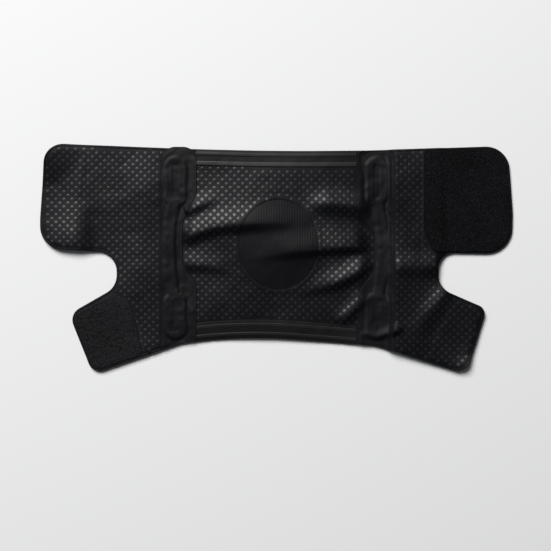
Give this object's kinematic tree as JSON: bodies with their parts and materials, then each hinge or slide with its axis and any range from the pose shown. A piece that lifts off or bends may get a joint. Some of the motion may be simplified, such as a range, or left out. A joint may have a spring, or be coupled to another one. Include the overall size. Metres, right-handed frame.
{
  "type": "wraparound knee support",
  "caption": "Open wraparound knee support lying flat: front panel with kneecap window, a stay on each side, and wings that end in upper and lower closing straps.",
  "frame": {"origin": "on the surface the support lies on, under the middle of its outline", "axes": "+Z out of the skin side, which faces up; +Y up the leg; +X towards the right-hand strap pair"},
  "size_m": [0.4998, 0.24, 0.0054],
  "materials": {
    "outer_cloth": "matt fine knit",
    "liner": "matt cloth with small glossy silicone dots",
    "window_knit": "matt fine ribbed knit",
    "grip_film": "smooth matt film",
    "grip_silicone": "semi-gloss silicone",
    "stay_resin": "moulded resin",
    "cover_tape": "smooth matt bonded tape",
    "loop_pile": "fuzzy brushed loop pile",
    "hook_tape": "woven nylon tape with small hooks"
  },
  "bodies": {
    "front_centre": {"front_centre_outer_cloth": "outer_cloth", "front_centre_liner": "liner", "patella_window_knit": "window_knit", "upper_grip_band_centre": "grip_film", "lower_grip_band_centre": "grip_film", "upper_grip_strips_centre": "grip_silicone", "lower_grip_strips_centre": "grip_silicone"},
    "front_left": {"front_left_outer_cloth": "outer_cloth", "front_left_liner": "liner", "upper_grip_band_left": "grip_film", "lower_grip_band_left": "grip_film", "upper_grip_strips_left": "grip_silicone", "lower_grip_strips_left": "grip_silicone"},
    "left_stay_panel": {"left_stay_panel_outer_cloth": "outer_cloth", "left_stay_panel_liner": "liner", "left_stay": "stay_resin", "left_stay_cover": "cover_tape"},
    "left_wing": {"left_wing_outer_cloth": "outer_cloth", "left_wing_liner": "liner", "lower_left_loop_patch_inner": "loop_pile"},
    "upper_left_strap": {"upper_left_strap_outer_cloth": "outer_cloth", "upper_left_strap_liner": "liner", "upper_left_hook_patch": "hook_tape"},
    "lower_left_strap": {"lower_left_strap_outer_cloth": "outer_cloth", "lower_left_strap_liner": "liner", "lower_left_loop_patch": "loop_pile"},
    "front_right": {"front_right_outer_cloth": "outer_cloth", "front_right_liner": "liner", "upper_grip_band_right": "grip_film", "lower_grip_band_right": "grip_film", "upper_grip_strips_right": "grip_silicone", "lower_grip_strips_right": "grip_silicone"},
    "right_stay_panel": {"right_stay_panel_outer_cloth": "outer_cloth", "right_stay_panel_liner": "liner", "right_stay": "stay_resin", "right_stay_cover": "cover_tape"},
    "right_wing": {"right_wing_outer_cloth": "outer_cloth", "right_wing_liner": "liner", "upper_right_loop_patch_inner": "loop_pile"},
    "upper_right_strap": {"upper_right_strap_outer_cloth": "outer_cloth", "upper_right_strap_liner": "liner", "upper_right_loop_patch": "loop_pile"},
    "lower_right_strap": {"lower_right_strap_outer_cloth": "outer_cloth", "lower_right_strap_liner": "liner", "lower_right_hook_patch": "hook_tape"}
  },
  "joints": [
    {"name": "front_left_fold", "type": "hinge", "parent": "front_centre", "child": "front_left", "pos_m": [-0.051, 0, 0.0046], "axis": [0, 1, 0], "range_deg": [0, 42]},
    {"name": "left_stay_fold", "type": "hinge", "parent": "front_left", "child": "left_stay_panel", "pos_m": [-0.0855, 0, 0.0046], "axis": [0, 1, 0], "range_deg": [0, 46]},
    {"name": "left_wing_fold", "type": "hinge", "parent": "left_stay_panel", "child": "left_wing", "pos_m": [-0.1237, 0, 0.0046], "axis": [0, 1, 0], "range_deg": [0, 50]},
    {"name": "upper_left_strap_fold", "type": "hinge", "parent": "left_wing", "child": "upper_left_strap", "pos_m": [-0.18, 0, 0.0046], "axis": [0, 1, 0], "range_deg": [0, 47]},
    {"name": "lower_left_strap_fold", "type": "hinge", "parent": "left_wing", "child": "lower_left_strap", "pos_m": [-0.1725, -0.07204, 0.0046], "axis": [-0.3584, 0.9336, 0], "range_deg": [0, 36]},
    {"name": "front_right_fold", "type": "hinge", "parent": "front_centre", "child": "front_right", "pos_m": [0.051, 0, 0.0046], "axis": [0, -1, 0], "range_deg": [0, 42]},
    {"name": "right_stay_fold", "type": "hinge", "parent": "front_right", "child": "right_stay_panel", "pos_m": [0.0855, 0, 0.0046], "axis": [0, -1, 0], "range_deg": [0, 46]},
    {"name": "right_wing_fold", "type": "hinge", "parent": "right_stay_panel", "child": "right_wing", "pos_m": [0.1237, 0, 0.0046], "axis": [0, -1, 0], "range_deg": [0, 50]},
    {"name": "upper_right_strap_fold", "type": "hinge", "parent": "right_wing", "child": "upper_right_strap", "pos_m": [0.18, 0, 0.0046], "axis": [0, -1, 0], "range_deg": [0, 37]},
    {"name": "lower_right_strap_fold", "type": "hinge", "parent": "right_wing", "child": "lower_right_strap", "pos_m": [0.1725, -0.07204, 0.0046], "axis": [-0.3584, -0.9336, 0], "range_deg": [0, 48]}
  ]
}
